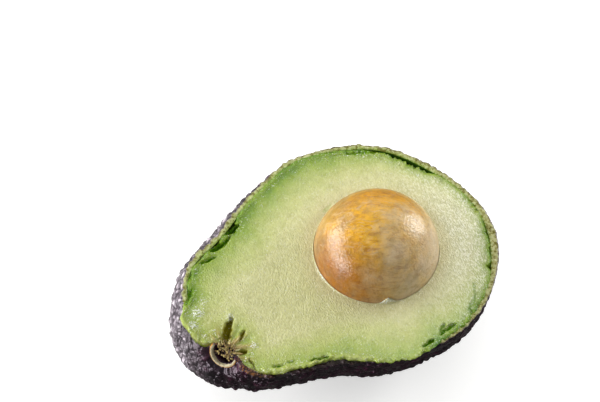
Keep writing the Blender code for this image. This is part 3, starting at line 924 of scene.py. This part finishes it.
def fleshMaterial():
    look = fleshLook
    material, add = newMaterial("avocadoFlesh")
    place = add("TexCoord").outputs["Object"]
    read = {name: add("Attribute", {"attribute_name": name}) for name in fleshReads}
    cloud = add("TexNoise", {"Scale": 160, "Detail": 5, "Roughness": 0.6}, {"Vector": place})
    sway = add("MapRange", {**noiseRange, "To Min": -0.13, "To Max": 0.13}, {0: cloud})
    swayed = add("Math", {"operation": "ADD"}, {0: read["green"], 1: sway})
    base = add("ValToRGB", {"stops": look["ramp"]}, {"Fac": swayed})
    warmHere = add("Math", {"operation": "MULTIPLY", 1: 0.6}, {0: read["warm"]})
    warmed = add("Mix", {7: look["warm"]}, {0: warmHere, 6: base})
    # Moist streaks about 0.3 mm wide and 0.8 mm long
    turned = add("Mapping", {"Rotation": (0, 0, math.radians(look["streakTurn"])), "Scale": (1.0, 0.42, 1.0)},
                 {"Vector": place})
    streaks = add("TexNoise", {"Scale": 2900, "Detail": 3, "Roughness": 0.6, "Distortion": 0.25},
                  {"Vector": turned})
    streakShade = add("ValToRGB", {"stops": ((0.32, 0.82), (0.62, 1.0))}, {"Fac": streaks})
    streaked = add("Mix", {"blend_type": "MULTIPLY", 0: 0.9}, {6: warmed, 7: streakShade})
    mottle = add("TexNoise", {"Scale": 420, "Detail": 4, "Roughness": 0.6}, {"Vector": place})
    mottleShade = add("ValToRGB", {"stops": ((0.3, 0.88), (0.7, 1.0))}, {"Fac": mottle})
    mottled = add("Mix", {"blend_type": "MULTIPLY", 0: 0.9}, {6: streaked, 7: mottleShade})
    # Cream fibres and painted sheen: pale streaks, most on the blossom end's side, stand for fibres and for
    # the wet sheen and glints there.
    fibreAndGlints = add("ValToRGB", {"stops": ((0.48, 0.25), (0.6, 1.0))}, {"Fac": streaks})
    creamAndSheenHere = add("Math", times, {0: fibreAndGlints, 1: read["cream"]})
    under = mottled
    for name, share in (("cream", creamAndSheenHere), ("ochre", read["ochre"]), ("stain", read["stain"])):
        under = add("Mix", {7: look[name]}, {0: share, 6: under})
    # Splits and folds deepen in colour from a share of their depth on: partly the darker flesh in them,
    # partly painted shade in the hollows.
    for name, start in (("pit", 0.35), ("fold", 0.3)):
        deep = add("ValToRGB", {"stops": ((start, look[name]), (1.0, look[name + "Shaded"]))},
                   {"Fac": read[name]})
        under = add("Mix", {}, {0: read[name], 6: under, 7: deep})
    # Froth and painted glints show as white flecks, dense on the lumps and rare elsewhere.
    fleck = add("TexNoise", {"Scale": 2200, "Detail": 3, "Roughness": 0.7}, {"Vector": place})
    frothAndGlintLevel = add("Math", {"operation": "MULTIPLY_ADD", 1: 0.19}, {0: read["froth"], 2: fleck})
    white = add("ValToRGB", {"stops": ((0.63, 0.0), (0.7, 0.95))}, {"Fac": frothAndGlintLevel})
    colour = add("Mix", {7: look["froth"]}, {0: white, 6: under})
    rough = add("MapRange", {**noiseRange, "To Min": 0.2, "To Max": 0.45}, {0: mottle})
    bump = add("Bump", {"Strength": 0.9, "Distance": 0.0005}, {"Height": streaks})
    # Folds, splits and the green edge are less shiny.
    sunk = add("Math", {"operation": "MAXIMUM"}, {0: read["fold"], 1: read["pit"]})
    dull = add("MapRange", {"To Min": 0.6, "To Max": 0.0}, {0: sunk})
    shiny = add("MapRange", {"From Max": 0.35, "To Min": 0.3}, {0: read["green"]})
    coat = add("Math", times, {0: dull, 1: shiny})
    level = add("Math", {"operation": "MULTIPLY", 1: 0.8}, {0: coat})
    add("BsdfPrincipled",
        {"IOR": 1.45, "Subsurface Weight": 0.15, "Subsurface Radius": (1.0, 0.9, 0.5),
         "Subsurface Scale": 0.0008, "Coat Roughness": 0.06},
        {"Base Color": colour, "Roughness": rough, "Normal": bump,
         "Coat Normal": bump, "Coat Weight": coat, "Specular IOR Level": level})
    return material


# The stone in its thin damp seed coat: orange tan, streaked, glossy as polished wood.
seedLook = {
    "streakTurn": -24,
    "across": ((0.0, "#b68a38"), (0.16, "#bc9242"), (0.36, "#dca206"), (0.47, "#daa41a"), (0.8, "#e2c080"),
               (1.0, "#e2c8a4")),
    "streakDark": "#9a5a12",
    "cloud": "#d6bf98",
    # low: painted shade on the stone's lower side
    "low": "#ac8850",
    "high": "#f0d69c",
}


def seedMaterial():
    look = seedLook
    material, add = newMaterial("seedCoat")
    place = add("TexCoord").outputs["Object"]
    centre = [a - b for a, b in zip(fruit["seedCentre"], (*fruit["middle"], -fruit["cutHeight"]))]
    centred = add("Mapping", {"Location": [-v * mm for v in centre]}, {"Vector": place})
    turned = add("Mapping", {"Rotation": (0, 0, math.radians(-look["streakTurn"]))}, {"Vector": centred})
    axes = add("SeparateXYZ", {}, {0: turned})
    # From the golden upper left to the cloudy lower right
    slope = add("Math", {"operation": "MULTIPLY_ADD", 1: -0.6}, {0: axes.outputs["Y"], 2: axes.outputs["X"]})
    cloud = add("TexNoise", {"Scale": 130, "Detail": 4, "Roughness": 0.6}, {"Vector": place})
    cloudShift = add("MapRange", {**noiseRange, "To Min": -0.008, "To Max": 0.008}, {0: cloud})
    shifted = add("Math", {"operation": "ADD"}, {0: slope, 1: cloudShift})
    across = add("MapRange", {"From Min": -0.022, "From Max": 0.022}, {0: shifted})
    base = add("ValToRGB", {"stops": look["across"]}, {"Fac": across})
    # Streaks run round the stone, about 1.7 mm apart with finer ones between
    long = add("Mapping", {"Scale": (0.3, 1.0, 1.0)}, {"Vector": turned})
    streaks = add("TexNoise", {"Scale": 600, "Detail": 5, "Roughness": 0.68, "Distortion": 1.5},
                  {"Vector": long})
    streakHere = add("ValToRGB", {"stops": ((0.48, 0.0), (0.66, 0.6))}, {"Fac": streaks})
    streaked = add("Mix", {7: look["streakDark"]}, {0: streakHere, 6: base})
    # Pale hazy streaks and golden patches between them
    wide = add("Mapping", {"Scale": (0.5, 1.0, 1.0)}, {"Vector": turned})
    haze = add("TexNoise", {"Scale": 420, "Detail": 6, "Roughness": 0.72, "Distortion": 1.2},
               {"Vector": wide})
    hazeHere = add("ValToRGB", {"stops": ((0.5, 0.0), (0.68, 0.6))}, {"Fac": haze})
    hazed = add("Mix", {7: look["cloud"]}, {0: hazeHere, 6: streaked})
    # Painted shade: the stone is darker towards its lower side.
    under = add("Math", {"operation": "MULTIPLY_ADD", 1: 0.8}, {0: axes.outputs["X"], 2: axes.outputs["Y"]})
    bottomShade = add("MapRange", {"From Min": -0.009, "From Max": -0.02, "To Max": 0.9}, {0: under})
    bottomShaded = add("Mix", {"blend_type": "MULTIPLY", 7: look["low"]}, {0: bottomShade, 6: hazed})
    # Deeper orange towards the top
    top = add("MapRange", {"From Min": 0.004, "From Max": 0.014, "To Max": 0.8}, {0: axes.outputs["Y"]})
    topped = add("Mix", {"blend_type": "MULTIPLY", 7: look["high"]}, {0: top, 6: bottomShaded})
    blotch = add("TexNoise", {"Scale": 330, "Detail": 5, "Roughness": 0.7}, {"Vector": place})
    blotchShade = add("ValToRGB", {"stops": ((0.36, 0.7), (0.58, 1.0))}, {"Fac": blotch})
    blotched = add("Mix", {"blend_type": "MULTIPLY", 0: 0.9}, {6: topped, 7: blotchShade})
    milky = add("ValToRGB", {"stops": ((0.5, 0.0), (0.9, 0.6))}, {"Fac": across})
    milkyHere = add("Math", times, {0: milky, 1: cloud})
    colour = add("Mix", {7: look["cloud"]}, {0: milkyHere, 6: blotched})
    grain = add("TexNoise", {"Scale": 1500, "Detail": 3}, {"Vector": place})
    bump = add("Bump", {"Strength": 0.5, "Distance": 0.0003}, {"Height": grain})
    rough = add("MapRange", {**noiseRange, "To Min": 0.3, "To Max": 0.46}, {0: blotch})
    add("BsdfPrincipled",
        {"IOR": 1.45, "Subsurface Weight": 0.1, "Subsurface Radius": (1.0, 0.6, 0.3),
         "Subsurface Scale": 0.001, "Specular IOR Level": 0.15, "Coat Weight": 0.8, "Coat Roughness": 0.2},
        {"Base Color": colour, "Roughness": rough, "Normal": bump,
         "Coat Normal": bump})
    return material


# Dried stem wood: a corky ring, golden outside and grey-tan inside, darker in its pores.
ringLook = {"outside": "#c48a36", "inside": "#b8ae8c", "dark": "#5a3f20"}


def ringMaterial():
    look = ringLook
    material, add = newMaterial("corkyStem")
    place = add("TexCoord").outputs["Object"]
    outward = add("Attribute", {"attribute_name": "outward"})
    sides = add("ValToRGB", {"stops": ((0.55, look["inside"]), (0.72, look["outside"]))}, {"Fac": outward})
    pores = add("TexNoise", {"Scale": 1400, "Detail": 5, "Roughness": 0.7}, {"Vector": place})
    here = add("ValToRGB", {"stops": ((0.32, 0.8), (0.48, 0.0))}, {"Fac": pores})
    colour = add("Mix", {7: look["dark"]}, {0: here, 6: sides})
    bump = add("Bump", {"Strength": 0.6, "Distance": 0.0003}, {"Height": pores})
    add("BsdfPrincipled", {"Roughness": 0.55}, {"Base Color": colour, "Normal": bump})
    return material


# The stem's torn core: dry brown crumbs, and moist strands that pale towards the flesh.
coreLook = {
    "tones": ((0.0, "#2e1d10"), (0.2, "#6e5430"), (0.4, "#a68a55"), (0.7, "#b9a765"), (1.0, "#cdc890")),
}


def coreMaterial():
    material, add = newMaterial("stemCore")
    place = add("TexCoord").outputs["Object"]
    tone = add("Attribute", {"attribute_name": "tone"})
    pores = add("TexNoise", {"Scale": 900, "Detail": 5, "Roughness": 0.7}, {"Vector": place})
    sway = add("MapRange", {**noiseRange, "To Min": -0.2, "To Max": 0.2}, {0: pores})
    swayed = add("Math", {"operation": "ADD"}, {0: tone, 1: sway})
    colour = add("ValToRGB", {"stops": coreLook["tones"]}, {"Fac": swayed})
    bump = add("Bump", {"Strength": 0.5, "Distance": 0.0003}, {"Height": pores})
    add("BsdfPrincipled", {"Roughness": 0.45}, {"Base Color": colour, "Normal": bump})
    return material


# ---- studio
studio = {
    "aim": (0.2, 22.5, 34.0),      # mm
    "distance": 723.4,
    "azimuth": -27.4,              # degrees, 0 looks along +Y
    "elevation": 58.7,
    "roll": 4.2,
    "lens": 148.0,
    "skyTowards": (0.2, 0.8, 0.5),  # the soft sky is brightest there
    "skyDark": 0.22,
    "skyBright": 0.72,
    "lights": (
        # direction the light comes from, distance m, size m, power W
        ("leftWindow", (-0.80, 0.60, 0.20), 0.9, (0.6, 0.45), 9.0),
        ("rightWindow", (0.97, 0.14, 0.28), 0.45, (0.16, 0.22), 1.15),
        ("backLight", (0.35, 0.75, 0.62), 1.0, (0.8, 0.5), 1.7),
        ("leftFill", (-0.96, 0.0, 0.1), 0.7, (0.4, 0.2), 3.6),
    ),
}


def makeStudio():
    scene = bpy.context.scene
    scene.view_settings.view_transform = "Standard"
    aim = Vector(studio["aim"]) * mm
    azimuth, elevation = math.radians(studio["azimuth"]), math.radians(studio["elevation"])
    back = Vector((math.sin(azimuth) * math.cos(elevation), -math.cos(azimuth) * math.cos(elevation),
                   math.sin(elevation)))
    lens = bpy.data.cameras.new("camera")
    lens.lens = studio["lens"]
    lens.sensor_width = 36
    lens.clip_start = 0.01
    camera = addObject("camera", lens)
    camera.location = aim + back * studio["distance"] * mm
    turn = (-back).to_track_quat("-Z", "Y").to_matrix()
    roll = Matrix.Rotation(math.radians(studio["roll"]), 3, "Z")
    camera.rotation_euler = (turn @ roll).to_euler()
    scene.camera = camera

    for name, direction, distance, size, power in studio["lights"]:
        light = bpy.data.lights.new(name, "AREA")
        light.shape = "RECTANGLE"
        light.size, light.size_y = size
        light.energy = power
        lamp = addObject(name, light)
        towards = Vector(direction).normalized()
        lamp.location = towards * distance + Vector((0, 0, 0.03))
        lamp.rotation_euler = (-towards).to_track_quat("-Z", "Y").to_euler()

    world = bpy.data.worlds.new("softWorld")
    world.use_nodes = True
    towards = Vector(studio["skyTowards"]).normalized()
    direction = addNode(world, "TexCoord").outputs["Generated"]
    facing = addNode(world, "VectorMath", {"operation": "DOT_PRODUCT", 1: towards}, {0: direction})
    brightness = {"From Min": -1.0, "To Min": studio["skyDark"], "To Max": studio["skyBright"]}
    strength = addNode(world, "MapRange", brightness, {0: facing.outputs["Value"]})
    world.node_tree.links.new(strength.outputs[0], world.node_tree.nodes["Background"].inputs["Strength"])
    world.node_tree.nodes["Background"].inputs["Color"].default_value = (1, 1, 1, 1)
    scene.world = world

    bm = bmesh.new()
    bmesh.ops.create_grid(bm, x_segments=1, y_segments=1, size=2.0)
    mesh = bpy.data.meshes.new("paleFloor")
    bm.to_mesh(mesh)
    bm.free()
    floor = addObject("paleFloor", mesh)
    # The paper is white where it is seen, and sends little light up under the fruit.
    matt, add = newMaterial("paperWhite")
    seen = add("LightPath").outputs["Is Camera Ray"]
    white = add("Mix", {6: "#7c7a78", 7: "#fafaf8"}, {0: seen})
    glow = add("Math", {"operation": "MULTIPLY", 1: 0.35}, {0: seen})
    add("BsdfPrincipled", {"Roughness": 0.9, "IOR": 1.2, "Emission Color": (1, 1, 1, 1)},
        {"Base Color": white, "Emission Strength": glow})
    mesh.materials.append(matt)


makeStudio()
print("studio ready")
makeSkin(skinMaterial())
makeFlesh(fleshMaterial())
makeSeed(seedMaterial())
makeStemRing(ringMaterial())
makeStemFibres(coreMaterial())
